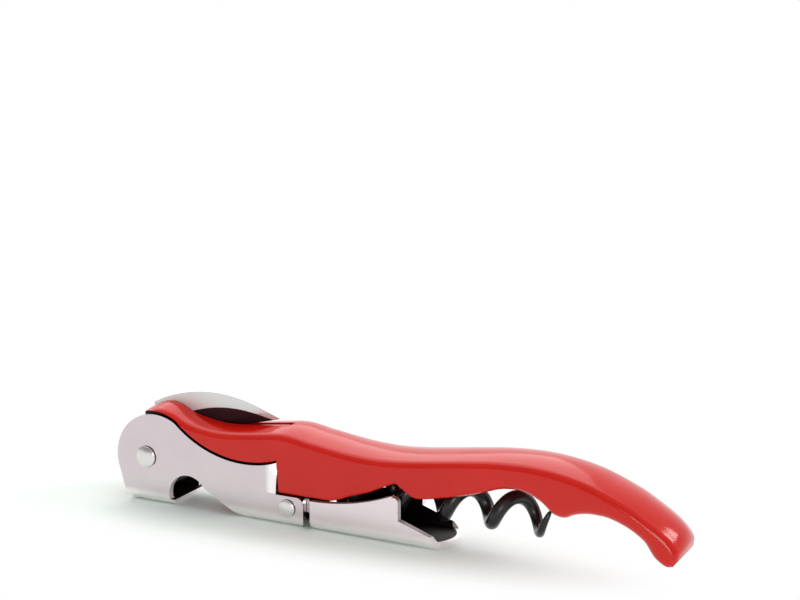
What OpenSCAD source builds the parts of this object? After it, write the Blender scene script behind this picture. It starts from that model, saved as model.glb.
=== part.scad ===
// Two-step waiter's corkscrew: red cast handle, hinged steel lever with a hinged foot,
// black worm and a curved foil blade, all turning on three cross pins.
// Millimetres. Closed pose, lying on the lever. +X runs to the handle tip, +Y across, +Z up.
// The origin lies on the resting plane, under the lever rivet.

/* [Lever] */
// Width over the two lever cheeks
lever_w = 12.1; // [11:0.1:14]
// Sheet thickness of the lever and the foot
sheet_t = 1.3; // [1:0.1:1.5]
// Outer radius of the folds between web and cheeks
bend_r = 1.8; // [1.6:0.1:2.4]
// Height of the lever rivet above the resting plane
rivet_z = 9.7; // [9.4:0.1:11]
// Radius of the round head of each cheek
head_r = 9.5; // [9.2:0.05:9.8]
// Distance from the rivet to the first bottle step
step_1 = 30.7; // [30:0.1:34]
// Radius of the crown cap notch
notch_r = 4.6; // [4.2:0.1:4.9]

/* [Foot] */
// Distance from the first bottle step to the second
step_2 = 27; // [25:0.5:32]
// Height of the second step above the resting plane
step_2_z = 9.8; // [8.6:0.1:10]
// Length of the toe past the second step
toe = 10; // [8:0.5:12]

/* [Worm] */
// Distance from the lever rivet to the worm pin
worm_pin_x = 19.2; // [18.6:0.1:20]
// Outside diameter of the coils
worm_d = 8.2; // [7.4:0.1:8.4]
// Diameter of the worm wire
wire_d = 2.7; // [2.2:0.1:2.9]
// Pitch of the coils
pitch = 9.8; // [8.5:0.1:11]
// Distance from the lever rivet to the worm point
worm_tip = 87.6; // [84:0.5:94]
// Turn of the coils: -1 left-hand, 1 right-hand
coil_hand = -1; // [-1:2:1]
// Width of the flat shank
shank_w = 5.6; // [4.8:0.1:5.8]
// Thickness of the flat shank
shank_t = 2.3; // [1.8:0.1:2.6]

/* [Blade] */
// Thickness of the foil blade
blade_t = 1.5; // [1:0.1:1.8]
// Radius of the curved blade spine
spine_r = 31.5; // [31:0.1:33]

/* [Pins] */
// Diameter of the lever rivet shank
rivet_d = 3; // [2.4:0.1:3.4]
// Diameter of the foot rivet shank
foot_pin_d = 2.4; // [1.8:0.1:2.6]
// Diameter of the worm pin
worm_pin_d = 2.8; // [2.2:0.1:3]

/* [Clearances] */
// Radial clearance of a pin in its hole
pin_gap = 0.05; // [0.02:0.01:0.1]
// Side clearance between a cheek and the plate it turns beside
side_gap = 0.15; // [0.1:0.05:0.2]
// Clearance around the lever in the handle recess
recess_gap = 0.6; // [0.4:0.05:0.8]
// Clearance around the coils in the handle trough
coil_gap = 0.4; // [0.3:0.05:0.5]
// Side clearance of the blade and the shank in their slots
slot_gap = 0.1; // [0.1:0.02:0.2]

/* [Hidden] */
$fn = 72;

RED = [0.72, 0.05, 0.04];
STEEL = [0.78, 0.77, 0.77];
DARK = [0.05, 0.05, 0.055];

half_w = lever_w / 2;
cheek_y = half_w - sheet_t;
plate_y = cheek_y - side_gap;
rivet_r = rivet_d / 2;
foot_pin_r = foot_pin_d / 2;
worm_pin_r = worm_pin_d / 2;
through = 2 * lever_w;
outside = 2 * head_r;

// Cheek outline: two head arcs and a waist arc that touches the second one.
head_c = [2.3, rivet_z - 0.35];
crest_c = [3, rivet_z + 1.8];
crest_r = head_r - 2.25;
waist_low = [23.3, rivet_z + 1.6];
waist_dx = waist_low[0] - crest_c[0];
waist_dz = waist_low[1] - crest_c[1];
waist_r = (waist_dx * waist_dx + waist_dz * waist_dz - crest_r * crest_r) / (2 * (crest_r - waist_dz));
waist_c = waist_low + [0, waist_r];
touch = crest_c + crest_r * (waist_c - crest_c) / norm(waist_c - crest_c);
brow = head_c + head_r * [cos(190), sin(190)];

// Crown cap notch and the slanted edge behind it.
notch_c = [10, 2.4];
lip_x = notch_c[0] - 3.4;
slant_top = notch_c + notch_r * [cos(31), sin(31)];
slant_end = 22.6;

// Foot hinge, and the bent tab above it.
ear_top = rivet_z - 3.55;
tab_x = step_1 - 3;
tab_in = 0.8;
tab_h = 6.4;
foot_pin = [step_1 + 2.6, rivet_z - 6];
ear_x = foot_pin[0] + 3.6;
ear_corner = 1.5;
foot_ear_r = foot_pin[1] - sheet_t - 0.3;
neck_lo = foot_pin[1] - 0.6;
neck_hi = foot_pin[1] + 2.1;
neck_out = cheek_y - 0.1;
neck_in = neck_out - sheet_t;
foot_x = ear_x + 1.5;
foot_top = ear_top - 0.25;
step_2_x = step_1 + step_2;
step_2_r = 0.9;
brow_r = (pow(step_2_x - foot_x, 2) + pow(step_2_z + 0.4 - foot_top, 2)) / (2 * (step_2_z + 0.4 - foot_top));
toe_x = step_2_x + toe;

// Worm.
worm_z = rivet_z - 1.3;
worm_pin = [worm_pin_x, worm_z];
wire_r = wire_d / 2;
lead_x = step_1 + 9.4;
point_len = 0.8 * pitch;

// Blade: crescent about the lever rivet with a round tang.
rivet = [0, rivet_z];
spine_c = [13.5, rivet_z - 17.6];
tang_r = 4.2;
edge_a = [9, rivet_z + 4.9];
blade_tip = [28.4, spine_c[1] + sqrt(spine_r * spine_r - pow(28.4 - spine_c[0], 2)) - 0.1];
bridge_out = 12.2;
nick_mid = [17.9, rivet_z + 9.4];
nick_h = 3.4;
nick_top_r = 29.5;
nick_low_r = 27.6;

function dir(a) = [cos(a), sin(a)];
function ease(u) = let (v = min(1, max(0, u))) v * v * (3 - 2 * v);

// Smooth curve through hand-set points: parabolic slopes, cubic pieces.
function chord(p, i) = (p[i + 1][1] - p[i][1]) / (p[i + 1][0] - p[i][0]);
function slope(p, i) =
    i == 0 ? chord(p, 0)
    : i == len(p) - 1 ? chord(p, i - 1)
    : let (a = p[i][0] - p[i - 1][0], b = p[i + 1][0] - p[i][0])
      (chord(p, i - 1) * b + chord(p, i) * a) / (a + b);
function piece(p, x) = min(len(p) - 2, max(0, len([for (q = p) if (q[0] <= x) 1]) - 1));
function cubic(a, b, ma, mb, d, u) =
    a * (1 + 2 * u) * (1 - u) * (1 - u) + ma * d * u * (1 - u) * (1 - u)
    + b * u * u * (3 - 2 * u) - mb * d * u * u * (1 - u);
function along(p, x) =
    let (i = piece(p, x), d = p[i + 1][0] - p[i][0], u = (x - p[i][0]) / d)
    cubic(p[i][1], p[i + 1][1], slope(p, i), slope(p, i + 1), d, u);

// Handle outline seen from the side, heights counted from the rivet.
wall_x = -1;
vee_x = step_2_x - 0.7;
front_z = ear_top - rivet_z + 0.35;
back_line = [
    [wall_x, 9.65], [1.2, 10.6], [2.9, 11], [4.3, 10.95], [6, 10.5], [8.4, 9.4], [12.6, 8.4], [17, 8],
    [23, 8.45], [step_1 - 2.7, 9.1], [step_1 + 0.8, 9.5], [step_1 + 7.3, 8.65], [step_1 + 16, 7.55],
    [vee_x - 3, 7.35], [vee_x + 1.5, 7.7], [vee_x + 7.3, 8.45], [vee_x + 14, 9.4], [worm_tip - 9.6, 10.2],
    [worm_tip - 3.1, 10.35], [worm_tip + 6.9, 8.85], [worm_tip + 15.4, 5.75]
];
belly_line = [
    [wall_x, front_z], [step_1, front_z], [ear_x + 1.7, front_z], [ear_x + 6.8, front_z + 0.25],
    [vee_x - 9.6, -1.55], [vee_x - 5.7, -0.2], [vee_x - 1.2, 1.9], [vee_x, 2.3], [vee_x + 1.4, 1.5],
    [vee_x + 4.2, 0.05], [vee_x + 5.6, 0.15], [vee_x + 9.6, 0.9], [vee_x + 15.7, 2.3],
    [worm_tip - 7.8, 4.3], [worm_tip - 5.1, 4.3], [worm_tip - 0.9, 2.6], [worm_tip + 1.4, 0.8],
    [worm_tip + 3.5, 0.55], [worm_tip + 5, 1.25], [worm_tip + 7.8, 1.9], [worm_tip + 10.6, 1.9]
];
function belly_round(x) = 0.7 + 1.6 * ease((x - vee_x - 6) / (worm_tip - vee_x - 14));

// Cross sections: top x, top z, bottom x, bottom z, half width, shoulder, belly round, crown.
tip_start = worm_tip + 10.6;
function station(x) = [
    x, along(back_line, x), x, along(belly_line, x), half_w, 1.5, belly_round(x), 0.6
];
tip_rows = [
    station(tip_start - 3),
    station(tip_start),
    [worm_tip + 15.4, 5.75, worm_tip + 13, 1.35, half_w, 1.5, 2.4, 0.7],
    [worm_tip + 19.4, 3.7, worm_tip + 15.8, 0.3, half_w - 0.05, 1.5, 2.5, 0.9],
    [worm_tip + 22.7, 1.7, worm_tip + 18.4, -1.6, half_w - 0.1, 1.6, 2.4, 1],
    [worm_tip + 24.7, -0.15, worm_tip + 20.6, -3.9, half_w - 0.3, 1.7, 1.9, 0.9],
    [worm_tip + 25.4, -1.8, worm_tip + 23, -5.2, half_w - 0.9, 1.6, 1.3, 0.6],
    [worm_tip + 25.1, -3.5, worm_tip + 24, -4.95, half_w - 2.1, 0.6, 0.6, 0.3]
];
function tip_row(i, u) =
    let (a = tip_rows[i], b = tip_rows[i + 1], ma = (b - tip_rows[i - 1]) / 2,
         mb = (i + 2 < len(tip_rows) ? tip_rows[i + 2] - a : 2 * (b - a)) / 2)
    cubic(a, b, ma, mb, 1, u);
body_steps = 56;
rows = concat(
    [for (k = [0 : body_steps]) station(wall_x + (tip_start - wall_x) * k / body_steps)],
    [for (i = [1 : len(tip_rows) - 2]) for (u = [1 / 3, 2 / 3, 1]) tip_row(i, u)]
);

// One half of a cross section, from the middle of the belly up to the middle of the back.
function half_ring(h, w, rs, rb, c) =
    let (ys = w - rs + rs * cos(80), qs = h - c - rs + rs * sin(80))
    concat(
        [for (a = [0, 30, 60, 90]) [w - rb + rb * sin(a), rb - rb * cos(a)]],
        [for (a = [0, 27, 54, 80]) [w - rs + rs * cos(a), h - c - rs + rs * sin(a)]],
        [[ys / 2, h - (h - qs) / 4]]
    );
function ring(s) =
    let (top = [s[0], s[1] + rivet_z], low = [s[2], s[3] + rivet_z], h = norm(top - low),
         up = (top - low) / h, rb = min(s[6], h - s[5] - s[7] - 0.4),
         half = half_ring(h, s[4], s[5], rb, s[7]), n = len(half))
    concat(
        [[low[0], 0, low[1]]],
        [for (p = half) [low[0] + up[0] * p[1], p[0], low[1] + up[1] * p[1]]],
        [[top[0], 0, top[1]]],
        [for (k = [n - 1 : -1 : 0]) [low[0] + up[0] * half[k][1], -half[k][0], low[1] + up[1] * half[k][1]]]
    );

// Closed tube of triangles over a list of rings with equal counts; a strip has its ends ruled from edge to edge.
module loft(rings, strip = false) {
    n = len(rings);
    m = len(rings[0]);
    points = [for (r = rings) each r];
    sides = [
        for (i = [0 : n - 2]) for (j = [0 : m - 1])
            let (a = i * m + j, b = i * m + (j + 1) % m, c = a + m, d = b + m)
            each [[a, c, d], [a, d, b]]
    ];
    cap = strip
        ? [for (j = [0 : m / 2 - 2]) each [[j, j + 1, m - 2 - j], [j, m - 2 - j, m - 1 - j]]]
        : [for (j = [1 : m - 2]) [0, j, j + 1]];
    far_cap = [for (f = cap) [for (k = [2, 1, 0]) f[k] + (n - 1) * m]];
    polyhedron(points, concat(sides, cap, far_cap), convexity = 8);
}

// Flat side outline given depth across the tool.
module across(w) {
    rotate([90, 0, 0])
        linear_extrude(height = w, center = true)
            children();
}

// Cylinder across the tool at a side-view point.
module cross_bar(at, r, w) {
    translate([at[0], 0, at[1]])
        rotate([90, 0, 0])
            cylinder(r = r, h = w, center = true);
}

module both_sides() {
    children();
    mirror([0, 1, 0])
        children();
}

// Folded sheet channel, open at the top.
module channel(x0, x1, top) {
    translate([x0, 0, 0])
        rotate([90, 0, 90])
            linear_extrude(height = x1 - x0)
                difference() {
                    trough(half_w, 0, bend_r, top);
                    trough(cheek_y, sheet_t, bend_r - sheet_t, top + 1);
                }
}

module trough(hw, z0, r, top) {
    translate([-hw, z0 + r])
        square([2 * hw, top - z0 - r]);
    translate([-hw + r, z0])
        square([2 * (hw - r), r + 0.01]);
    for (s = [-1, 1])
        translate([s * (hw - r), z0 + r])
            circle(r);
}

// Cheek outline without the notch, grown by g; a grown outline also runs out below.
module cheek_blank(g) {
    low = g > 0 ? -4 : 0;
    lean = g > 0 ? 0.35 : 0;
    difference() {
        union() {
            translate(head_c)
                circle(head_r + g);
            translate(crest_c)
                circle(crest_r + g);
            polygon([
                brow - [g > 0 ? 8 : 0, 0], [g > 0 ? -16 : -5.2, g > 0 ? low : 1], [-4.2, low],
                [step_1 + g + 3 * lean, low], [step_1 + g - lean, waist_low[1] + 1.1],
                [step_1 + g - lean, touch[1]], touch, crest_c, head_c
            ]);
        }
        translate(waist_c)
            circle(waist_r - g);
    }
}

module lever_side() {
    difference() {
        union() {
            cheek_blank(0);
            translate([step_1 - 1, 0])
                square([ear_x - ear_corner - step_1 + 1, ear_top]);
            translate([step_1, ear_corner])
                square([ear_x - step_1, ear_top - 2 * ear_corner]);
            for (z = [ear_corner, ear_top - ear_corner])
                translate([ear_x - ear_corner, z])
                    circle(ear_corner);
        }
        translate(notch_c)
            circle(notch_r);
        polygon([
            [lip_x, -1], [lip_x, notch_c[1]], notch_c, slant_top, [slant_end, 0],
            [slant_end + (slant_end - slant_top[0]) / slant_top[1], -1]
        ]);
    }
    translate([lip_x - 3, 0])
        square([3, sheet_t]);
}

// Plan of the tab at a share t of its height: it sweeps inwards towards its end and its top.
function tab_dip(x, t) = tab_in * ease(t) * pow(max(0, x - tab_x) / (step_1 - tab_x), 2);
function tab_ring(t) =
    let (z = ear_top + tab_h * t, xs = [tab_x - 0.3, for (k = [0 : 4]) tab_x + (step_1 - tab_x) * k / 4])
    concat(
        [for (x = xs) [x, cheek_y - tab_dip(x, t), z]],
        [for (k = [len(xs) - 1 : -1 : 0]) [xs[k], half_w - tab_dip(xs[k], t), z]]
    );

// Sheet lever with crown cap notch, first step and hinge ears.
module lever() {
    color(STEEL)
    difference() {
        union() {
            difference() {
                intersection() {
                    across(lever_w + 2)
                        lever_side();
                    channel(-10, ear_x + 1, rivet_z + 14);
                }
                both_sides()
                    translate([tab_x, cheek_y - 1, ear_top])
                        cube([10, sheet_t + 2, 12]);
            }
            both_sides()
                intersection() {
                    across(lever_w + 2)
                        lever_side();
                    loft([for (t = [-0.05, 0, 0.25, 0.5, 0.75, 1, 1.2]) tab_ring(t)], strip = true);
                }
        }
        cross_bar(rivet, rivet_r + pin_gap, lever_w + 2);
        cross_bar(foot_pin, foot_pin_r + pin_gap, lever_w + 2);
        both_sides()
            translate([foot_pin[0] + 1.3, neck_in - 0.25, -1])
                cube([6, cheek_y - neck_in + 0.25, sheet_t + 1.6]);
    }
}

// Domed rivet across two cheeks.
module rivet_shape(at, r, head, dome) {
    ball = (head * head + dome * dome) / (2 * dome);
    translate([at[0], 0, at[1]])
        rotate([90, 0, 0]) {
            cylinder(r = r, h = lever_w + 0.2, center = true);
            for (s = [0, 180])
                rotate([s, 0, 0])
                    translate([0, 0, half_w + 0.03])
                        intersection() {
                            translate([0, 0, dome - ball])
                                sphere(r = ball);
                            cylinder(r = head, h = dome + 1);
                        }
        }
}

module lever_rivet() {
    color(STEEL)
        rivet_shape(rivet, rivet_r, rivet_r + 0.75, 0.75);
}

module foot_rivet() {
    color(STEEL)
        rivet_shape(foot_pin, foot_pin_r, foot_pin_r + 0.6, 0.6);
}

module foot_side() {
    difference() {
        polygon([
            [foot_x, -1], [foot_x, foot_top], [step_2_x, foot_top], [step_2_x, step_2_z],
            [foot_x, step_2_z + brow_r]
        ]);
        translate([foot_x, foot_top + brow_r])
            circle(brow_r);
        difference() {
            polygon([
                [step_2_x + 1, step_2_z + 1], [step_2_x + 1, step_2_z - 1.5 * step_2_r],
                [step_2_x - step_2_r, step_2_z - 1.5 * step_2_r],
                [step_2_x - 1.4 * step_2_r, step_2_z - 0.5 * step_2_r], [step_2_x - 1.4 * step_2_r, step_2_z + 1]
            ]);
            translate([step_2_x - step_2_r, step_2_z - 1.5 * step_2_r])
                circle(step_2_r);
        }
    }
    polygon([
        [foot_x, 0], [foot_x, foot_top], [step_2_x, foot_top], [step_2_x, step_2_z / 2],
        [step_2_x + 6.8, 2 * sheet_t], [step_2_x + 8, sheet_t], [toe_x, sheet_t], [toe_x, 0]
    ]);
}

// Second lever with its bottle step, toe and joggled hinge ears.
module foot() {
    side_x = foot_x - 0.85;
    color(STEEL)
    difference() {
        union() {
            intersection() {
                across(lever_w + 2)
                    foot_side();
                channel(foot_x, toe_x + 1, step_2_z + 1);
                linear_extrude(height = 60, center = true)
                    toe_plan();
            }
            both_sides()
                intersection() {
                    linear_extrude(height = 60, center = true)
                        polygon([
                            [foot_pin[0] - 5, neck_in], [side_x + 0.2, neck_in], [foot_x + 0.6, cheek_y],
                            [foot_x + 1.4, cheek_y], [foot_x + 1.4, half_w], [foot_x, half_w],
                            [side_x, neck_out], [foot_pin[0] - 5, neck_out]
                        ]);
                    union() {
                        cross_bar(foot_pin, foot_ear_r, lever_w + 2);
                        translate([foot_pin[0], -lever_w, neck_lo])
                            cube([foot_x + 1.4 - foot_pin[0], 2 * lever_w, neck_hi - neck_lo]);
                    }
                }
        }
        cross_bar(foot_pin, foot_pin_r + pin_gap, lever_w + 2);
    }
}

// Plan of the foot: straight sides and a round nose.
module toe_plan() {
    nose = half_w + 0.6;
    translate([foot_x - 1, -half_w - 1])
        square([toe_x - nose - foot_x + 1, lever_w + 2]);
    translate([toe_x - nose, 0])
        circle(nose);
}

// Centre line of the worm wire at distance x from the rivet.
function turn_at(x) =
    let (a = lead_x - 2, b = lead_x + 2)
    90 + 360 / pitch * (x < a ? 0 : x < b ? (x - a) * (x - a) / (2 * (b - a)) : x - lead_x);
function wire_at(x) =
    let (u = (worm_tip - x) / point_len) u < 1 ? 0.25 + (wire_r - 0.25) * sqrt(max(0, u)) : wire_r;
function coil_at(x) = (worm_d / 2 - wire_at(x)) * ease((x - lead_x + 7) / 7);
function spoke(x) = [0, coil_hand * cos(turn_at(x)), sin(turn_at(x))];
function wire_point(x) = [x, 0, worm_z] + coil_at(x) * spoke(x);
function wire_ring(x) =
    let (p = wire_point(x), e = wire_point(x + 0.02) - wire_point(x - 0.02), t = e / norm(e),
         v = spoke(x) - (spoke(x) * t) * t, n = v / norm(v), b = cross(t, n))
    [for (k = [0 : 9]) p + wire_at(x) * (n * cos(36 * k) + b * sin(36 * k))];

// Worm: flat shank with an eye, drawn out into a wire helix with a sharp point.
module worm() {
    coil_steps = round((worm_tip - lead_x) / pitch * 20);
    lead = [for (k = [0 : 3]) lead_x - 6.8 + 1.2 * k];
    coil = [for (k = [0 : coil_steps]) lead_x - 2 + (worm_tip - lead_x + 2) * k / coil_steps];
    hw = shank_w / 2;
    color(DARK)
    difference() {
        union() {
            across(shank_t)
                union() {
                    translate(worm_pin)
                        circle(hw);
                    translate(worm_pin)
                        polygon([
                            [0, -hw], [lead_x - worm_pin_x - 7.6, -hw], [lead_x - worm_pin_x - 3.2, 0.5],
                            [lead_x - worm_pin_x - 3.2, hw], [0, hw]
                        ]);
                }
            loft([for (x = concat(lead, coil)) wire_ring(x)]);
        }
        cross_bar(worm_pin, worm_pin_r + pin_gap, through);
    }
}

// Straight pin with slightly domed ends, flush in the plates.
module worm_pin() {
    ball = 4;
    reach = plate_y - 0.05;
    color(STEEL)
        translate([worm_pin[0], 0, worm_pin[1]])
            rotate([90, 0, 0])
                intersection() {
                    cylinder(r = worm_pin_r, h = 2 * reach, center = true);
                    translate([0, 0, reach - ball])
                        sphere(r = ball);
                    translate([0, 0, ball - reach])
                        sphere(r = ball);
                }
}

module blade_side() {
    translate(rivet)
        circle(tang_r);
    intersection() {
        translate(spine_c)
            circle(spine_r, $fn = 120);
        union() {
            difference() {
                polygon([
                    rivet, edge_a, blade_tip, [step_1 + 5.3, rivet_z + 30], rivet + 2 * outside * dir(98)
                ]);
                translate(rivet)
                    circle(bridge_out);
            }
            polygon([rivet, rivet + 2 * outside * dir(50), rivet + 2 * outside * dir(98)]);
        }
    }
}

// Lens outline of the nail nick.
module nick_side() {
    intersection() {
        translate(nick_mid + [0, nick_h / 2 - nick_top_r])
            circle(nick_top_r);
        translate(nick_mid + [0, nick_low_r - nick_h / 2])
            circle(nick_low_r);
    }
}

// Curved foil blade with a ground edge and a nail nick on both faces.
module knife_blade() {
    edge = blade_tip - edge_a;
    color(STEEL)
    difference() {
        across(blade_t)
            blade_side();
        cross_bar(rivet, rivet_r + pin_gap, through);
        both_sides()
            translate([0, -blade_t / 2 + 0.2, 0])
                rotate([90, 0, 0])
                    linear_extrude(height = blade_t)
                        nick_side();
        difference() {
            both_sides()
                translate([edge_a[0], 0.12, edge_a[1]])
                    rotate([0, -atan2(edge[1], edge[0]), 0])
                        rotate([-16, 0, 0])
                            translate([-6, 0, -3])
                                cube([norm(edge) + 20, 4, 12]);
            cross_bar(rivet, bridge_out, through);
        }
    }
}

// Inner plates of the handle, seen from the side.
module plates_side() {
    translate(rivet)
        circle(head_r - 2.4);
    polygon([
        rivet, rivet + 8.1 * dir(-50), [14, rivet_z - 3.6], [24.5, 2 + sheet_t - 1.3], [25.2, rivet_z - 4.1],
        [26.6, rivet_z - 2.9], [26.6, rivet_z + 5], [0, rivet_z + 5]
    ]);
}

module knife_slot_side() {
    translate(rivet)
        circle(tang_r + 0.4);
    polygon([
        rivet, edge_a + [1.2, -0.9], blade_tip + [3.1, -2.6], blade_tip + [3.1, 14], [-outside, rivet_z + 22],
        [-outside, rivet_z - 12], rivet + 1.5 * head_r * dir(240)
    ]);
}

module shank_slot_side() {
    r = shank_w / 2 + 0.6;
    translate(worm_pin)
        circle(r);
    polygon([
        worm_pin + [0, r - 0.2], worm_pin + r * dir(140), worm_pin + r * dir(140) + outside * dir(230),
        [lead_x, -6], [lead_x, worm_z + r - 0.2]
    ]);
}

// Pocket beside the bent tab of the lever.
module pocket_side() {
    difference() {
        intersection() {
            cheek_blank(recess_gap);
            translate([20, -4])
                square([30, 40]);
        }
        translate(rivet)
            circle(step_1 - 3.5);
    }
}

// Arched tunnel of length l along X, open below.
module arch(r, l) {
    rotate([90, 0, 90])
        linear_extrude(height = l) {
            circle(r);
            translate([-r, -30])
                square([2 * r, 30]);
        }
}

// Trough for the coils, deeper in front where the shank rises into the first coil.
module worm_trough() {
    r = worm_d / 2 + coil_gap;
    x0 = step_1 + 2.3;
    x1 = vee_x + 9;
    x2 = worm_tip + 0.7;
    lift = 2.6;
    tilt = atan2(lift, x1 - x0);
    translate([x0 + 0.4, 0, worm_z])
        arch(r, x2 - x0 - 0.4);
    translate([x0, 0, worm_z + lift])
        rotate([0, tilt, 0])
            arch(r - 0.15, (x1 - x0) / cos(tilt));
}

// Cast handle: crowned back, finger grooves, lever recess, worm trough and blade slot.
module handle_body() {
    color(RED)
    difference() {
        union() {
            loft([for (s = rows) ring(s)]);
            across(2 * plate_y)
                plates_side();
        }
        both_sides()
            translate([0, plate_y + 5, 0])
                across(10)
                    cheek_blank(recess_gap);
        both_sides()
            translate([0, 7, 0])
                across(8)
                    pocket_side();
        across(blade_t + 2 * slot_gap)
            knife_slot_side();
        across(shank_t + 2 * slot_gap)
            shank_slot_side();
        cross_bar(notch_c, notch_r + 0.8, through);
        worm_trough();
        cross_bar(rivet, rivet_r + pin_gap, through);
        cross_bar(worm_pin, worm_pin_r + pin_gap, through);
    }
}

handle_body();
lever();
lever_rivet();
foot();
foot_rivet();
worm();
worm_pin();
knife_blade();
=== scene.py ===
"""Two-step waiter's corkscrew: red enamelled handle, plated sheet lever and foot, black worm, foil blade."""
import math

import bmesh
import bpy
import numpy as np
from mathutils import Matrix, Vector


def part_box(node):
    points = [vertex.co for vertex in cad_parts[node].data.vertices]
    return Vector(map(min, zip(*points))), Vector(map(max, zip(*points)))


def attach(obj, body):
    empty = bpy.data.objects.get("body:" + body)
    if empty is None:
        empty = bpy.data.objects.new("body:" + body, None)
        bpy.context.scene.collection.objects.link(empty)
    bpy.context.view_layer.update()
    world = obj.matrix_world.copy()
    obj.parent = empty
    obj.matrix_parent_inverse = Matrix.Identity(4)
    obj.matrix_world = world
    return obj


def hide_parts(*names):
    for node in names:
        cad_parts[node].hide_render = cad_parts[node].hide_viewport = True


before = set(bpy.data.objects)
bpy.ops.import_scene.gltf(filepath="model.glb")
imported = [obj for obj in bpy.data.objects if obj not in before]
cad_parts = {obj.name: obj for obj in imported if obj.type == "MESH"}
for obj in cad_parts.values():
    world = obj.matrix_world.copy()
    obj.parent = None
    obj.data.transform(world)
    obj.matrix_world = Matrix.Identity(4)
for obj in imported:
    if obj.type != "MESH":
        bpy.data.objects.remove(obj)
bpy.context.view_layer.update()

MM = 0.001

# Sizes of the object in millimetres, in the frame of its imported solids. Points from the side are (x, z).
HALF_W = 6.05  # half the width across handle, lever and foot
SHEET_T = 1.3  # sheet of lever and foot
RIVET = np.array([0.0, 9.7])
RIVET_R = 1.5
WORM_PIN = np.array([19.2, 8.4])
WORM_PIN_R = 1.4
STEP_1 = 30.7  # first bottle step, the front of the lever's bent tab
STEP_2 = STEP_1 + 27.0  # second bottle step, on the foot
FOOT_PIN = np.array([STEP_1 + 2.6, 3.7])
FOOT_PIN_R = 1.2
EAR_X = FOOT_PIN[0] + 3.6  # front of the lever's hinge ears
VEE_X = STEP_2 - 0.7  # groove in the handle's belly over the second step
WORM_TIP = 87.6
NOSE_R = HALF_W + 0.6  # round front of the foot
NOSE_X = float(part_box("foot")[1][0]) / MM - NOSE_R
NOTCH = np.array([10.0, 2.4])  # axis of the crown cap notch
NOTCH_RIM_R = 4.9  # the notch's cut edges in the lever lie within this
NOTCH_RELIEF_R = 5.4  # room for a cap between the handle's plates

# Handle: inner plates, recess for the lever's cheeks, pockets and slots.
PLATE_Y = HALF_W - SHEET_T - 0.15  # outside of the inner plates, which clear the cheeks
SHADE_STRIP_Y = PLATE_Y - 0.03  # bottom of the strip of painted shade that frames the recess
SHADE_STRIP_LAP = 0.15  # the painted shade strip reaches this far under the lever's edge
PLATE_R = 7.1
PLATE_CORNER_R = 8.1  # from the rivet to the plates' lower corner
PLATE_CORNER_A = -50
HEAD = RIVET + [2.3, -0.35]  # round head of the cheek
HEAD_R = 9.5
CREST = RIVET + [3.0, 1.8]  # circle that the waist's arc touches
CREST_R = HEAD_R - 2.25
WAIST_LOW = RIVET + [23.3, 1.6]  # lowest point of the waist's arc
POCKET_R = STEP_1 - 3.5
POCKET_Y = 3.0
BLADE_T = 1.5
BLADE_EDGE = RIVET + [9.0, 4.9]
BLADE_TIP = np.array([28.4, 19.753])
BLADE_HUB_R = 4.6
PIN_GAP = 0.05
RECESS_GAP = 0.6
COIL_GAP = 0.4
SLOT_GAP = 0.1
SHANK_GAP = 0.6

# Worm: a flat shank that is drawn out into the coil.
COIL_D = 8.2
COIL_HAND = -1  # left-hand coil, as in the photograph
WIRE_R = 1.35
POINT_R = 0.25
PITCH = 9.8
POINT_L = 0.8 * PITCH  # length over which the wire thins to its point
SHANK_W = 5.6
SHANK_T = 2.3
LEAD_X = STEP_1 + 9.4  # start of the coil
LEAD_IN = 7.0  # length over which the coil opens
DRAW_X = LEAD_X - 7.8  # the shank starts to round off here
DRAW_L = 5.4  # length over which it becomes wire
TURN_IN = 2.0  # the turning starts this far before the coil and is even this far past it

# Cutters end well outside the handle: at one side, right through, below and in front.
OUT_Y = 14.0
THROUGH = 20.0
BELOW_Z = -4.0
FRONT_X = -16.0

FACE_SLACK = 0.01  # slack when faces are picked by their place


def linear(hex_colour):
    """Turn an sRGB hex colour into linear RGBA: the sRGB curve undone channel by channel."""
    c = np.array([int(hex_colour[i:i + 2], 16) for i in (1, 3, 5)]) / 255
    c = np.where(c <= 0.04045, c / 12.92, ((c + 0.055) / 1.055) ** 2.4)
    return (*map(float, c), 1.0)


def cells(size):
    """Pattern scale for marks of a size in millimetres: as many as fit in a metre."""
    return 1 / (size * MM)


def add(tree, kind, inputs=None, **settings):
    """Add one node: settings are its properties, inputs are socket values or the sockets that feed them."""
    node = tree.nodes.new(kind)
    for name, value in settings.items():
        setattr(node, name, value)
    for name, value in (inputs or {}).items():
        if isinstance(value, bpy.types.NodeSocket):
            tree.links.new(value, node.inputs[name])
        else:
            node.inputs[name].default_value = value
    return node


def blank_material(name):
    """An empty node material with its output; returns the material, its tree and the surface socket."""
    mat = bpy.data.materials.new(name)
    mat.use_nodes = True
    mat.node_tree.nodes.clear()
    out = add(mat.node_tree, "ShaderNodeOutputMaterial")
    return mat, mat.node_tree, out.inputs["Surface"]


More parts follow.
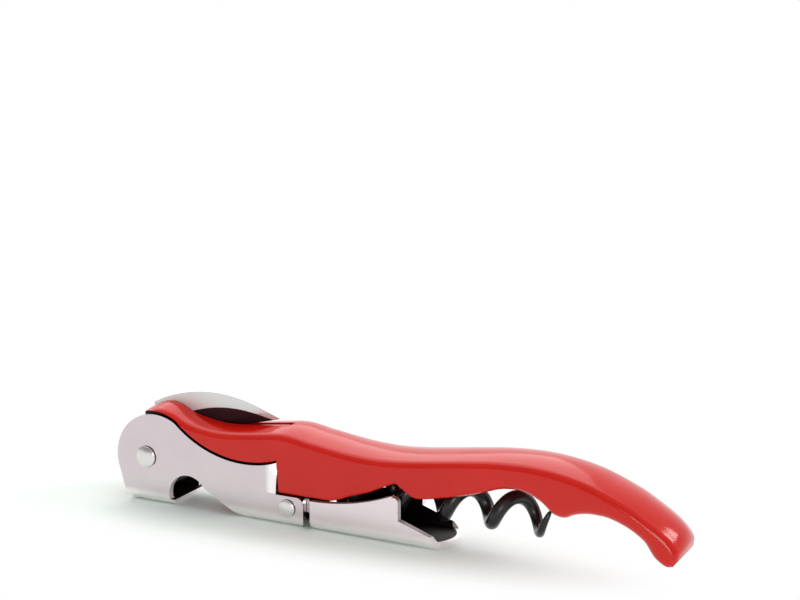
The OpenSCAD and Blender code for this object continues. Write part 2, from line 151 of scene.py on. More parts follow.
def red_enamel():
    """Stoved red enamel on a zinc casting: a smooth gloss film with faint orange peel and handling marks."""
    mat, tree, surface = blank_material("stoved_red_enamel")
    place = add(tree, "ShaderNodeTexCoord").outputs["Object"]
    # Orange peel ripples about 1.6 mm apart.
    peel = add(tree, "ShaderNodeTexNoise", {
        "Vector": place, "Scale": cells(1.613), "Detail": 2.0, "Roughness": 0.45})
    # Handling marks about 9 mm across, which dull the gloss a little.
    marks = add(tree, "ShaderNodeTexNoise", {
        "Vector": place, "Scale": cells(9.09), "Detail": 5.0, "Roughness": 0.62})
    # Pin-sized dust in the film, about 0.3 mm.
    dust = add(tree, "ShaderNodeTexNoise", {"Vector": place, "Scale": cells(0.303), "Detail": 1.0})
    gloss = add(tree, "ShaderNodeMapRange", {
        "Value": marks.outputs["Fac"], "From Min": 0.3, "From Max": 0.72, "To Min": 0.1, "To Max": 0.19})
    tint = add(tree, "ShaderNodeMapRange", {
        "Value": marks.outputs["Fac"], "From Min": 0.32, "From Max": 0.7, "To Min": 0.0, "To Max": 1.0})
    colour = add(tree, "ShaderNodeMix", {
        0: tint.outputs["Result"], 6: linear("#c81408"), 7: linear("#d0190a")}, data_type="RGBA")
    ripple = add(tree, "ShaderNodeBump", {
        "Height": peel.outputs["Fac"], "Strength": 0.02, "Distance": 0.5 * MM})
    grit = add(tree, "ShaderNodeBump", {
        "Height": dust.outputs["Fac"], "Normal": ripple.outputs["Normal"], "Strength": 0.004,
        "Distance": 0.1 * MM})
    paint = add(tree, "ShaderNodeBsdfPrincipled", {
        "Base Color": colour.outputs[2], "Roughness": gloss.outputs["Result"], "IOR": 1.42,
        "Normal": grit.outputs["Normal"]})
    tree.links.new(paint.outputs["BSDF"], surface)
    return mat


def painted_recess_shade():
    """Painted shade: enamel coloured near black in the recess beside the lever and in the notch, where shade
    falls.
    """
    mat, tree, surface = blank_material("painted_shade_in_the_recess")
    place = add(tree, "ShaderNodeTexCoord").outputs["Object"]
    # Uneven painted shade with patches about 1.5 mm across.
    film = add(tree, "ShaderNodeTexNoise", {
        "Vector": place, "Scale": cells(1.515), "Detail": 4.0, "Roughness": 0.6})
    colour = add(tree, "ShaderNodeMix", {
        0: film.outputs["Fac"], 6: linear("#0d0504"), 7: linear("#1c0907")}, data_type="RGBA")
    gloss = add(tree, "ShaderNodeMapRange", {
        "Value": film.outputs["Fac"], "From Min": 0.3, "From Max": 0.7, "To Min": 0.45, "To Max": 0.7})
    bump = add(tree, "ShaderNodeBump", {"Height": film.outputs["Fac"], "Strength": 0.1, "Distance": 0.1 * MM})
    recess_shade_paint = add(tree, "ShaderNodeBsdfPrincipled", {
        "Base Color": colour.outputs[2], "Roughness": gloss.outputs["Result"], "IOR": 1.45,
        "Normal": bump.outputs["Normal"]})
    tree.links.new(recess_shade_paint.outputs["BSDF"], surface)
    return mat


def plated_sheet(name, dark, pale, rough, lip_highlight_colour=None, tab_highlight=0.0):
    """Nickel-plated pressed steel sheet: soft, bright and cloudy, with rolling lines and a painted highlight
    along the lower fold.

    lip_highlight_colour paints a highlight on a lip round the nose of the foot, tab_highlight one on the end
    of the lever's bent tab.
    """
    mat, tree, surface = blank_material(name)
    place = add(tree, "ShaderNodeTexCoord").outputs["Object"]
    spot = add(tree, "ShaderNodeSeparateXYZ", {0: place}).outputs
    # Rolling lines about 0.15 mm wide and 8.3 mm long.
    along = add(tree, "ShaderNodeMapping", {
        "Vector": place, "Scale": (cells(8.333), cells(0.1515), cells(0.1515))})
    lines = add(tree, "ShaderNodeTexNoise", {"Vector": along.outputs["Vector"], "Scale": 1.0, "Detail": 3.0})
    # Cloudy patches of the plating about 9 mm across.
    cloud = add(tree, "ShaderNodeTexNoise", {
        "Vector": place, "Scale": cells(9.09), "Detail": 3.0, "Roughness": 0.5})
    gloss = add(tree, "ShaderNodeMapRange", {
        "Value": cloud.outputs["Fac"], "From Min": 0.3, "From Max": 0.7,
        "To Min": rough, "To Max": rough + 0.06})
    # Painted highlight: the fold is painted brighter from the resting plane up to 3 mm.
    fold_highlight = add(tree, "ShaderNodeMapRange", {
        "Value": spot["Z"], "From Min": 1.2 * MM, "From Max": 3.0 * MM, "To Min": 0.9, "To Max": 0.0},
        interpolation_type="SMOOTHSTEP")
    shade = add(tree, "ShaderNodeMath", {0: cloud.outputs["Fac"], 1: 0.35}, operation="MULTIPLY")
    tint = add(tree, "ShaderNodeMath", {0: shade.outputs[0], 1: fold_highlight.outputs["Result"]}, operation="ADD",
               use_clamp=True)
    # Painted highlight: the bent tab of the lever is painted bright over its last 2 mm, above the hinge ears.
    end = add(tree, "ShaderNodeMapRange", {
        "Value": spot["X"], "From Min": (STEP_1 - 2.4) * MM, "From Max": (STEP_1 - 1.2) * MM,
        "To Min": 0.0, "To Max": tab_highlight})
    above = add(tree, "ShaderNodeMath", {0: spot["Z"], 1: 6.3 * MM}, operation="GREATER_THAN")
    tab_highlight_band = add(tree, "ShaderNodeMath", {0: end.outputs["Result"], 1: above.outputs[0]}, operation="MULTIPLY")
    tint = add(tree, "ShaderNodeMath", {0: tint.outputs[0], 1: tab_highlight_band.outputs[0]}, operation="ADD",
               use_clamp=True)
    colour = add(tree, "ShaderNodeMix", {
        0: tint.outputs[0], 6: linear(dark), 7: linear(pale)}, data_type="RGBA")
    if lip_highlight_colour:
        # Painted highlight: a lip 1 mm wide round the nose of the foot is painted bright.
        ahead = add(tree, "ShaderNodeMath", {0: spot["X"], 1: NOSE_X * MM}, operation="SUBTRACT")
        nose_x = add(tree, "ShaderNodeMath", {0: ahead.outputs[0], 1: 0.0}, operation="MAXIMUM")
        nose = add(tree, "ShaderNodeCombineXYZ", {0: nose_x.outputs[0], 1: spot["Y"]})
        reach = add(tree, "ShaderNodeVectorMath", {0: nose.outputs[0]}, operation="LENGTH")
        lip = add(tree, "ShaderNodeMapRange", {
            "Value": reach.outputs["Value"], "From Min": (NOSE_R - 1.0) * MM,
            "From Max": (NOSE_R - 0.85) * MM, "To Min": 0.0, "To Max": 1.0})
        colour = add(tree, "ShaderNodeMix", {
            0: lip.outputs["Result"], 6: colour.outputs[2], 7: linear(lip_highlight_colour)}, data_type="RGBA")
    bump = add(tree, "ShaderNodeBump", {
        "Height": lines.outputs["Fac"], "Strength": 0.02, "Distance": 0.03 * MM})
    steel = add(tree, "ShaderNodeBsdfPrincipled", {
        "Base Color": colour.outputs[2], "Metallic": 1.0, "Roughness": gloss.outputs["Result"],
        "Normal": bump.outputs["Normal"]})
    tree.links.new(steel.outputs["BSDF"], surface)
    return mat


def rivet_steel():
    """Cold-headed plain steel: a lightly burnished face with small press marks, and painted shade round the
    foot of each head.
    """
    mat, tree, surface = blank_material("cold_headed_rivet_steel")
    place = add(tree, "ShaderNodeTexCoord").outputs["Object"]
    # Press marks 0.4 mm across.
    marks = add(tree, "ShaderNodeTexNoise", {
        "Vector": place, "Scale": cells(0.4), "Detail": 4.0, "Roughness": 0.6})
    gloss = add(tree, "ShaderNodeMapRange", {
        "Value": marks.outputs["Fac"], "From Min": 0.3, "From Max": 0.7, "To Min": 0.16, "To Max": 0.26})
    bare = add(tree, "ShaderNodeMix", {
        0: marks.outputs["Fac"], 6: linear("#d9d4d3"), 7: linear("#e8e4e3")}, data_type="RGBA")
    # Painted shade in the corner under each head, up to 0.28 mm above the cheek.
    spot = add(tree, "ShaderNodeSeparateXYZ", {0: place}).outputs
    across = add(tree, "ShaderNodeMath", {0: spot["Y"]}, operation="ABSOLUTE")
    head_shade_ring = add(tree, "ShaderNodeMapRange", {
        "Value": across.outputs[0], "From Min": (HALF_W + 0.1) * MM, "From Max": (HALF_W + 0.28) * MM,
        "To Min": 1.0, "To Max": 0.0})
    colour = add(tree, "ShaderNodeMix", {
        0: head_shade_ring.outputs["Result"], 6: bare.outputs[2], 7: linear("#453e3d")}, data_type="RGBA")
    bump = add(tree, "ShaderNodeBump", {
        "Height": marks.outputs["Fac"], "Strength": 0.05, "Distance": 0.1 * MM})
    steel = add(tree, "ShaderNodeBsdfPrincipled", {
        "Base Color": colour.outputs[2], "Metallic": 1.0, "Roughness": gloss.outputs["Result"],
        "Normal": bump.outputs["Normal"]})
    tree.links.new(steel.outputs["BSDF"], surface)
    return mat


def black_coating():
    """Slippery black fluoropolymer over drawn wire: dark satin with a spray texture and rubbed patches."""
    mat, tree, surface = blank_material("black_fluoropolymer_coating")
    place = add(tree, "ShaderNodeTexCoord").outputs["Object"]
    # Spray texture 0.5 mm across, and rubbed, greyer patches 5 mm across.
    spray = add(tree, "ShaderNodeTexNoise", {"Vector": place, "Scale": cells(0.5), "Detail": 3.0})
    patches = add(tree, "ShaderNodeTexNoise", {
        "Vector": place, "Scale": cells(5), "Detail": 5.0, "Roughness": 0.6})
    wear = add(tree, "ShaderNodeMapRange", {
        "Value": patches.outputs["Fac"], "From Min": 0.42, "From Max": 0.75, "To Min": 0.0, "To Max": 1.0})
    colour = add(tree, "ShaderNodeMix", {
        0: wear.outputs["Result"], 6: linear("#141112"), 7: linear("#211c1c")}, data_type="RGBA")
    gloss = add(tree, "ShaderNodeMapRange", {
        "Value": patches.outputs["Fac"], "From Min": 0.3, "From Max": 0.7, "To Min": 0.2, "To Max": 0.36})
    bump = add(tree, "ShaderNodeBump", {
        "Height": spray.outputs["Fac"], "Strength": 0.02, "Distance": 0.1 * MM})
    coat = add(tree, "ShaderNodeBsdfPrincipled", {
        "Base Color": colour.outputs[2], "Roughness": gloss.outputs["Result"], "IOR": 1.45,
        "Normal": bump.outputs["Normal"]})
    tree.links.new(coat.outputs["BSDF"], surface)
    return mat


def ground_steel():
    """Ground stainless blade steel: fine grinding lines, a pale matt back and a hollow below an arc painted
    dark maroon as shade and a reflection of the red handle.
    """
    mat, tree, surface = blank_material("ground_stainless_blade")
    place = add(tree, "ShaderNodeTexCoord").outputs["Object"]
    # Grinding lines 0.125 mm apart and about 3.85 mm long that run up the blade, leaning a little.
    turned = add(tree, "ShaderNodeMapping", {
        "Vector": place, "Rotation": (0.0, 0.35, 0.0), "Scale": (cells(0.125), cells(0.5), cells(3.846))})
    lines = add(tree, "ShaderNodeTexNoise", {"Vector": turned.outputs["Vector"], "Scale": 1.0, "Detail": 3.0})
    # Distance from the middle of the arc: inside 29.45 mm the steel is painted dark maroon, as painted shade
    # and a painted reflection of the red handle.
    flat = add(tree, "ShaderNodeVectorMath", {0: place, 1: (1.0, 0.0, 1.0)}, operation="MULTIPLY")
    reach = add(tree, "ShaderNodeVectorMath", {
        0: flat.outputs[0], 1: (17.9 * MM, 0.0, -8.7 * MM)}, operation="DISTANCE")
    hollow_shade = add(tree, "ShaderNodeMapRange", {
        "Value": reach.outputs["Value"], "From Min": 29.35 * MM, "From Max": 29.55 * MM,
        "To Min": 1.0, "To Max": 0.0}, interpolation_type="SMOOTHSTEP")
    bright = add(tree, "ShaderNodeMix", {
        0: lines.outputs["Fac"], 6: linear("#e6ecea"), 7: linear("#eff4f2")}, data_type="RGBA")
    colour = add(tree, "ShaderNodeMix", {
        0: hollow_shade.outputs["Result"], 6: bright.outputs[2], 7: linear("#40292f")}, data_type="RGBA")
    gloss = add(tree, "ShaderNodeMapRange", {
        "Value": lines.outputs["Fac"], "From Min": 0.3, "From Max": 0.7, "To Min": 0.54, "To Max": 0.62})
    bump = add(tree, "ShaderNodeBump", {
        "Height": lines.outputs["Fac"], "Strength": 0.015, "Distance": 0.03 * MM})
    steel = add(tree, "ShaderNodeBsdfPrincipled", {
        "Base Color": colour.outputs[2], "Metallic": 1.0, "Roughness": gloss.outputs["Result"],
        "Normal": bump.outputs["Normal"]})
    tree.links.new(steel.outputs["BSDF"], surface)
    return mat


def ease(u):
    """Smooth step: three u squared less two u cubed, held between 0 and 1."""
    v = np.clip(u, 0, 1)
    return v * v * (3 - 2 * v)


def cubic(a, b, ma, mb, u):
    """Cubic from a to b that leaves with slope ma and arrives with slope mb, for u from 0 to 1."""
    return (a * (1 + 2 * u) * (1 - u) ** 2 + ma * u * (1 - u) ** 2
            + b * u * u * (3 - 2 * u) - mb * u * u * (1 - u))


def smooth_line(points, x):
    """Height at x on cubics through set points, each slope from the parabola through three of them."""
    p = np.array(points, float)
    d = np.diff(p[:, 0])
    c = np.diff(p[:, 1]) / d
    m = np.concatenate([c[:1], (c[:-1] * d[1:] + c[1:] * d[:-1]) / (d[:-1] + d[1:]), c[-1:]])
    i = np.clip(np.searchsorted(p[:, 0], x, side="right") - 1, 0, len(d) - 1)
    return cubic(p[i, 1], p[i + 1, 1], m[i] * d[i], m[i + 1] * d[i], (x - p[i, 0]) / d[i])


def tube_mesh(name, rings):
    """Mesh of a closed tube over rings (row, point, xyz) in millimetres, with a flat cap at each end."""
    n, m = rings.shape[:2]
    i, j = np.meshgrid(np.arange(n - 1), np.arange(m), indexing="ij")
    k = (j + 1) % m
    quads = np.stack([i * m + j, (i + 1) * m + j, (i + 1) * m + k, i * m + k], -1).reshape(-1, 4)
    caps = [list(range(m)), list(range(n * m - 1, (n - 1) * m - 1, -1))]
    mesh = bpy.data.meshes.new(name)
    mesh.from_pydata((rings.reshape(-1, 3) * MM).tolist(), [], quads.tolist() + caps)
    mesh.validate()
    work = bmesh.new()
    work.from_mesh(mesh)
    bmesh.ops.recalc_face_normals(work, faces=work.faces)
    work.to_mesh(mesh)
    work.free()
    return mesh


def prism(outline, y0, y1):
    """Side outline (x, z) in millimetres carried straight across the tool from y0 to y1."""
    p = np.asarray(outline, float)
    rings = np.stack([np.stack([p[:, 0], np.full(len(p), y), p[:, 1]], -1) for y in (y0, y1)])
    return tube_mesh("cutter", rings)


def arc(centre, r, a0, a1, n=48):
    """Points on a circle round the centre, from angle a0 to a1 in degrees."""
    a = np.radians(np.linspace(a0, a1, n))
    return np.asarray(centre) + r * np.stack([np.cos(a), np.sin(a)], -1)


def polar(centre, r, a):
    """The one point at radius r and angle a in degrees from the centre."""
    return arc(centre, r, a, a, 1)[0]


def bearing(point, centre):
    """Angle of a point seen from a centre, in degrees."""
    return math.degrees(math.atan2(point[1] - centre[1], point[0] - centre[0]))


def disc(centre, r, n=96):
    """A full circle as an outline."""
    return arc(centre, r, 0, 360 - 360 / n, n)


def combine(obj, mesh, operation):
    """Add another closed mesh to the object or cut it away, and keep the result as the object's own mesh."""
    tool = bpy.data.objects.new("tool", mesh)
    bpy.context.scene.collection.objects.link(tool)
    step = obj.modifiers.new("step", "BOOLEAN")
    step.operation = operation
    step.solver = "MANIFOLD"
    step.object = tool
    bpy.context.view_layer.update()
    result = bpy.data.meshes.new_from_object(obj.evaluated_get(bpy.context.evaluated_depsgraph_get()))
    obj.modifiers.clear()
    obj.data = result
    bpy.data.objects.remove(tool)


def new_piece(name, mesh):
    """A mesh object at the origin, in the scene."""
    obj = bpy.data.objects.new(name, mesh)
    bpy.context.scene.collection.objects.link(obj)
    return obj


def finish_piece(obj, body, node, materials, angle, edge=0.0, segments=0):
    """Smooth a piece and tie it to its body, node and slot.

    Edges sharper than the angle in degrees stay sharp, or are rounded over edge millimetres.
    """
    obj.data.materials.clear()
    for mat in materials:
        obj.data.materials.append(mat)
    obj.data.polygons.foreach_set("use_smooth", np.ones(len(obj.data.polygons), bool))
    obj.data.set_sharp_from_angle(angle=math.radians(angle))
    if edge:
        bevel = obj.modifiers.new("edges", "BEVEL")
        bevel.width = edge * MM
        bevel.segments = segments
        bevel.limit_method = "ANGLE"
        bevel.angle_limit = math.radians(angle)
        bevel.harden_normals = True
        bevel.miter_outer = "MITER_ARC"
    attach(obj, body)
    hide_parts(node)


def merged_copy(name, node):
    """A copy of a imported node's triangles, with its corners merged and its flat faces made whole again."""
    obj = new_piece(name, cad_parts[node].data.copy())
    work = bmesh.new()
    work.from_mesh(obj.data)
    bmesh.ops.remove_doubles(work, verts=work.verts, dist=0.002 * MM)
    bmesh.ops.dissolve_limit(work, angle_limit=math.radians(0.4), verts=work.verts, edges=work.edges)
    work.to_mesh(obj.data)
    work.free()
    return obj


def face_values(obj):
    """Centres of the faces in millimetres and their normals, one row each."""
    values = []
    for name in ("center", "normal"):
        flat = np.empty(3 * len(obj.data.polygons))
        obj.data.polygons.foreach_get(name, flat)
        values.append(flat.reshape(-1, 3))
    return values[0] / MM, values[1]


def from_notch(centre):
    """Distance of each face's centre from the axis of the crown cap notch, in millimetres."""
    return np.hypot(centre[:, 0] - NOTCH[0], centre[:, 2] - NOTCH[1])


# Handle outline from the side, heights counted from the rivet.
WALL_X = -1.0
FRONT_Z = -3.2
BACK = [
    (WALL_X, 9.65), (1.2, 10.6), (2.9, 11), (4.3, 10.95), (6, 10.5), (8.4, 9.4), (12.6, 8.4), (17, 8),
    (23, 8.45), (STEP_1 - 2.7, 9.1), (STEP_1 + 0.8, 9.5), (STEP_1 + 7.3, 8.65), (STEP_1 + 16, 7.55),
    (VEE_X - 3, 7.35), (VEE_X + 1.5, 7.7), (VEE_X + 7.3, 8.45), (VEE_X + 14, 9.4), (WORM_TIP - 9.6, 10.2),
    (WORM_TIP - 3.1, 10.35), (WORM_TIP + 6.9, 8.85), (WORM_TIP + 15.4, 5.75)]
BELLY = [
    (WALL_X, FRONT_Z), (STEP_1, FRONT_Z), (EAR_X + 1.7, FRONT_Z), (EAR_X + 6.8, FRONT_Z + 0.25),
    (VEE_X - 9.6, -1.55), (VEE_X - 5.7, -0.2), (VEE_X - 1.2, 1.9), (VEE_X, 2.3), (VEE_X + 1.4, 1.5),
    (VEE_X + 4.2, 0.05), (VEE_X + 5.6, 0.15), (VEE_X + 9.6, 0.9), (VEE_X + 15.7, 2.3),
    (WORM_TIP - 7.8, 4.3), (WORM_TIP - 5.1, 4.3), (WORM_TIP - 0.9, 2.6), (WORM_TIP + 1.4, 0.8),
    (WORM_TIP + 3.5, 0.55), (WORM_TIP + 5, 1.25), (WORM_TIP + 7.8, 1.9), (WORM_TIP + 10.6, 1.9)]
SHOULDER_R = 1.5
BELLY_R = 0.7  # at the head; it grows by BELLY_MORE towards the tip
BELLY_MORE = 1.6
CROWN = 0.6
TIP_START = WORM_TIP + 10.6
# Sections round the tip: top x, top z, low x, low z, half width, shoulder radius, belly radius, crown.
TIP = [
    (WORM_TIP + 15.4, 5.75, WORM_TIP + 13, 1.35, HALF_W, 1.5, 2.4, 0.7),
    (WORM_TIP + 19.4, 3.7, WORM_TIP + 15.8, 0.3, HALF_W - 0.05, 1.5, 2.5, 0.9),
    (WORM_TIP + 22.7, 1.7, WORM_TIP + 18.4, -1.6, HALF_W - 0.1, 1.6, 2.4, 1),
    (WORM_TIP + 24.7, -0.15, WORM_TIP + 20.4, -4.1, HALF_W - 0.25, 1.7, 1.9, 0.9),
    (WORM_TIP + 25.36, -1.9, WORM_TIP + 22.6, -5.35, HALF_W - 0.4, 1.6, 1.3, 0.6),
    (WORM_TIP + 25.05, -3.75, WORM_TIP + 23.9, -5.3, HALF_W - 1.1, 0.7, 0.6, 0.3)]


def handle_sections():
    """Section values along the handle: smooth back and belly lines at even x, then cubics through TIP."""
    x = np.linspace(WALL_X, TIP_START, 360)
    belly_r = BELLY_R + BELLY_MORE * ease((x - VEE_X - 6) / (WORM_TIP - VEE_X - 14))
    body = np.stack([x, smooth_line(BACK, x), x, smooth_line(BELLY, x), 0 * x + HALF_W,
                     0 * x + SHOULDER_R, belly_r, 0 * x + CROWN], -1)
    before = body[np.abs(x - (TIP_START - 3)).argmin()]
    r = np.concatenate([[before, body[-1]], TIP])
    r = np.concatenate([r, [2 * r[-1] - r[-2]]])
    u = np.linspace(0, 1, 19)[1:, None]
    a, b = r[1:-2, None], r[2:-1, None]
    tip = cubic(a, b, (b - r[:-3, None]) / 2, (r[3:, None] - a) / 2, u[None])
    return np.concatenate([body, tip.reshape(-1, 8)])


def handle_rings(s):
    """Rings of the handle: flat belly, round belly edge, straight side, round shoulder, parabolic crown."""
    top, low = s[:, 0:2] + [0, RIVET[1]], s[:, 2:4] + [0, RIVET[1]]
    h = np.linalg.norm(top - low, axis=1)[:, None]
    up = (top - low) / h
    w, rs, c = s[:, 4:5], s[:, 5:6], s[:, 7:8]
    least_side = 0.4
    rb = np.minimum(s[:, 6:7], h - rs - c - least_side)
    a = np.radians(np.linspace(0, 90, 13))
    b = np.radians(np.linspace(0, 80, 15))
    side = np.linspace(0, 1, 6)[1:-1]
    ys = w - rs + rs * np.cos(b[-1])
    qs = h - c - rs + rs * np.sin(b[-1])
    t = np.linspace(1, 0, 11)[1:]
    half_y = np.concatenate([
        (w - rb) * np.linspace(0, 1, 7)[None, :-1], w - rb + rb * np.sin(a), w + 0 * side,
        w - rs + rs * np.cos(b), ys * t], 1)
    half_q = np.concatenate([
        np.zeros((len(s), 6)), rb - rb * np.cos(a), rb + (h - c - rs - rb) * side,
        h - c - rs + rs * np.sin(b), h - (h - qs) * t * t], 1)
    y = np.concatenate([half_y, -half_y[:, -2:0:-1]], 1)
    q = np.concatenate([half_q, half_q[:, -2:0:-1]], 1)
    return np.stack([low[:, :1] + up[:, :1] * q, y, low[:, 1:] + up[:, 1:] * q], -1)


def cheek_recess(grow):
    """Outline of the lever cheek grown by a gap: head arc, waist arc and a leaning front, run out below.

    The waist's circle has its lowest point given and touches the crest's circle from outside.
    """
    head_r = HEAD_R + grow
    gap = WAIST_LOW - CREST
    waist_r = (gap @ gap - CREST_R ** 2) / (2 * (CREST_R - gap[1]))
    waist = WAIST_LOW + [0, waist_r]
    waist_r -= grow
    d = waist - HEAD
    span = np.linalg.norm(d)
    along = (span ** 2 + head_r ** 2 - waist_r ** 2) / (2 * span)
    rise = math.sqrt(head_r ** 2 - along ** 2)
    meet = HEAD + along * d / span + rise * np.array([-d[1], d[0]]) / span
    start_a = 190
    start_z = polar(HEAD, head_r, start_a)[1]
    end_x = STEP_1 + grow - 0.35
    end_a = 360 - math.degrees(math.acos((end_x - waist[0]) / waist_r))
    return np.concatenate([
        [[FRONT_X, BELOW_Z], [FRONT_X, start_z]], arc(HEAD, head_r, start_a, bearing(meet, HEAD)),
        arc(waist, waist_r, 360 + bearing(meet, waist), end_a)[1:],
        [[end_x, WAIST_LOW[1] + 1.1], [end_x + 1.4, BELOW_Z]]])


def tab_pocket(recess):
    """Outline of the pocket beside the bent tab: the part of the recess past a circle round the rivet."""
    far = np.linalg.norm(recess - RIVET, axis=1) > POCKET_R
    top = recess[far & (recess[:, 0] > RIVET[0]) & (recess[:, 1] > 0)]
    high_a, low_a = (
        math.degrees(math.asin((z - RIVET[1]) / POCKET_R)) for z in (top[0, 1], BELOW_Z))
    return np.concatenate([arc(RIVET, POCKET_R, low_a, high_a), top, recess[-1:]])


def worm_trough():
    """Two arched tunnels open below: one round the coil axis, one tilted up towards the shank."""
    r = COIL_D / 2 + COIL_GAP
    start_x, bend_x, end_x, lift = STEP_1 + 2.3, VEE_X + 9, WORM_TIP + 0.7, 2.6
    open_q = -30
    tilt = math.atan2(lift, bend_x - start_x)
    meshes = []
    for x, z, turn, radius, length in (
            (start_x + 0.4, WORM_PIN[1], 0, r, end_x - start_x - 0.4),
            (start_x, WORM_PIN[1] + lift, tilt, r - 0.15, (bend_x - start_x) / math.cos(tilt))):
        arch = np.concatenate([[[radius, open_q]], arc((0, 0), radius, 0, 180, 49), [[-radius, open_q]]])
        ends = np.array([0, length])[:, None]
        q = arch[None, :, 1] + 0 * ends
        rings = np.stack([x + ends * math.cos(turn) + q * math.sin(turn), arch[None, :, 0] + 0 * ends,
                          z - ends * math.sin(turn) + q * math.cos(turn)], -1)
        meshes.append(tube_mesh("cutter", rings))
    return meshes


def handle():
    """The cast handle: a lofted bar with plates, lever recess, pockets, two slots and the worm's trough."""
    obj = new_piece("enamelled_handle", tube_mesh("enamelled_handle", handle_rings(handle_sections())))
    plates = [
        RIVET, polar(RIVET, PLATE_CORNER_R, PLATE_CORNER_A), (14, 6.1), (24.5, 2), (25.2, 5.6), (26.6, 6.8),
        (26.6, 14.7), (0, 14.7)]
    combine(obj, prism(disc(RIVET, PLATE_R), -PLATE_Y, PLATE_Y), "UNION")
    combine(obj, prism(plates, -PLATE_Y, PLATE_Y), "UNION")
    recess, pad = cheek_recess(RECESS_GAP), cheek_recess(-SHADE_STRIP_LAP)
    # The strip is cut a hair deeper than the recess floor and takes the painted shade.
    strip = np.concatenate([recess[2:], pad[:1:-1]])
    pocket = tab_pocket(recess)
    for side in (-1, 1):
        combine(obj, prism(recess, side * PLATE_Y, side * OUT_Y), "DIFFERENCE")
        combine(obj, prism(strip, side * SHADE_STRIP_Y, side * OUT_Y), "DIFFERENCE")
        combine(obj, prism(pocket, side * POCKET_Y, side * OUT_Y), "DIFFERENCE")
    slot_y = BLADE_T / 2 + SLOT_GAP
    blade_slot = [
        RIVET, BLADE_EDGE + [1.2, -0.9], BLADE_TIP + [3.1, -2.6], BLADE_TIP + [3.1, 14], (FRONT_X, 31.7),
        (FRONT_X, -2.3), polar(RIVET, 14, 240)]
    combine(obj, prism(disc(RIVET, BLADE_HUB_R), -slot_y, slot_y), "DIFFERENCE")
    combine(obj, prism(blade_slot, -slot_y, slot_y), "DIFFERENCE")
    shank_y = SHANK_T / 2 + SLOT_GAP
    r = SHANK_W / 2 + SHANK_GAP
    roof = WORM_PIN[1] + r - 0.2
    lean = polar(WORM_PIN, r, 140)
    shank_slot = [(WORM_PIN[0], roof), lean, polar(lean, 18, 230), (LEAD_X, -6), (LEAD_X, roof)]
    combine(obj, prism(disc(WORM_PIN, r), -shank_y, shank_y), "DIFFERENCE")
    combine(obj, prism(shank_slot, -shank_y, shank_y), "DIFFERENCE")
    combine(obj, prism(disc(NOTCH, NOTCH_RELIEF_R), -THROUGH, THROUGH), "DIFFERENCE")
    for tunnel in worm_trough():
        combine(obj, tunnel, "DIFFERENCE")
    for pin, pin_r in ((RIVET, RIVET_R), (WORM_PIN, WORM_PIN_R)):
        combine(obj, prism(disc(pin, pin_r + PIN_GAP), -THROUGH, THROUGH), "DIFFERENCE")
    work = bmesh.new()
    work.from_mesh(obj.data)
    bmesh.ops.remove_doubles(work, verts=work.verts, dist=0.02 * MM)
    bmesh.ops.dissolve_degenerate(work, edges=work.edges, dist=0.005 * MM)
    work.to_mesh(obj.data)
    work.free()
    return obj


def worm_path(x):
    """Wire radius, spoke and wire middle at x: a point that thins by a root, a coil that opens by an ease."""
    u = (WORM_TIP - x) / POINT_L
    wire = np.where(u < 1, POINT_R + (WIRE_R - POINT_R) * np.sqrt(np.clip(u, 0, 1)), WIRE_R)
    coil = (COIL_D / 2 - wire) * ease((x - LEAD_X + LEAD_IN) / LEAD_IN)
    a, b = LEAD_X - TURN_IN, LEAD_X + TURN_IN
    turn = np.where(x < a, 0, np.where(x < b, (x - a) ** 2 / (2 * (b - a)), x - LEAD_X))
    angle = math.pi / 2 + 2 * math.pi / PITCH * turn
    spoke = np.stack([0 * x, COIL_HAND * np.cos(angle), np.sin(angle)], -1)
    centre = np.stack([x, 0 * x, 0 * x + WORM_PIN[1]], -1) + coil[:, None] * spoke
    return wire, spoke, centre


def worm():
    """One drawn piece: flat shank with a round eye, a square section that rounds off into wire, the helix.

    Each ring is a superellipse whose power falls from 9 at the shank to 2, a circle, at the wire.
    """
    hw = SHANK_W / 2
    first_a = 0.12  # the eye starts a little off its end, so that the cap has a width
    eye = WORM_PIN[0] - hw * np.cos(np.linspace(first_a, math.pi / 2, 26))
    strap = np.linspace(WORM_PIN[0], LEAD_X - TURN_IN, 110)[1:]
    coil = np.linspace(LEAD_X - TURN_IN, WORM_TIP, 470)[1:]
    x = np.concatenate([eye, strap, coil])
    wire, spoke, centre = worm_path(x)
    step = 0.02
    chord = worm_path(x + step)[2] - worm_path(x - step)[2]
    tangent = chord / np.linalg.norm(chord, axis=1)[:, None]
    n = spoke - (spoke * tangent).sum(1)[:, None] * tangent
    n /= np.linalg.norm(n, axis=1)[:, None]
    b = np.cross(tangent, n)
    drawn = ease((x - DRAW_X) / DRAW_L)
    eye_h = np.sqrt(np.clip(hw ** 2 - np.clip(WORM_PIN[0] - x, 0, None) ** 2, 0.01, None))
    tall = eye_h * (1 - drawn) + wire * drawn
    thick = SHANK_T / 2 * (1 - drawn) + wire * drawn
    power = 2 / (9 * (1 - drawn) + 2 * drawn)
    a = np.linspace(0, 2 * math.pi, 41)[:-1]
    cos, sin = np.cos(a), np.sin(a)
    up = np.sign(cos) * np.abs(cos) ** power[:, None] * tall[:, None]
    out = np.sign(sin) * np.abs(sin) ** power[:, None] * thick[:, None]
    rings = centre[:, None] + n[:, None] * up[..., None] + b[:, None] * out[..., None]
    obj = new_piece("black_worm", tube_mesh("black_worm", rings))
    combine(obj, prism(disc(WORM_PIN, WORM_PIN_R + PIN_GAP), -THROUGH, THROUGH), "DIFFERENCE")
    return obj


